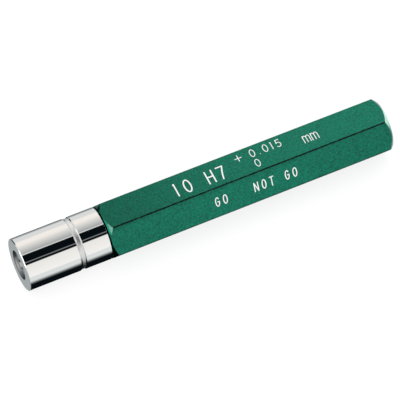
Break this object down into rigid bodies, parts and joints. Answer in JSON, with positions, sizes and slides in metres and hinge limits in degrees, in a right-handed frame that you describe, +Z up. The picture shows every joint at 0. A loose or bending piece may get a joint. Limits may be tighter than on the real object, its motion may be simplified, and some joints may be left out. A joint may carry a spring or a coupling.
{
  "type": "step limit plug gauge",
  "caption": "Plug gauge for small bores: a turned steel member with a GO step and a NOT GO step, in a green hexagonal handle.",
  "frame": {"origin": "below the middle of the gauge's length, on the surface that it lies on", "axes": "+X along the gauge's axis from the GO end to the handle's tail, +Z up, away from the flat of the handle that it lies on"},
  "size_m": [0.0734, 0.0116, 0.01],
  "materials": {
    "lapped_steel": "polished",
    "green_anodised": "satin"
  },
  "bodies": {
    "root": {"gauging_member": "lapped_steel", "handle": "green_anodised"}
  },
  "joints": []
}
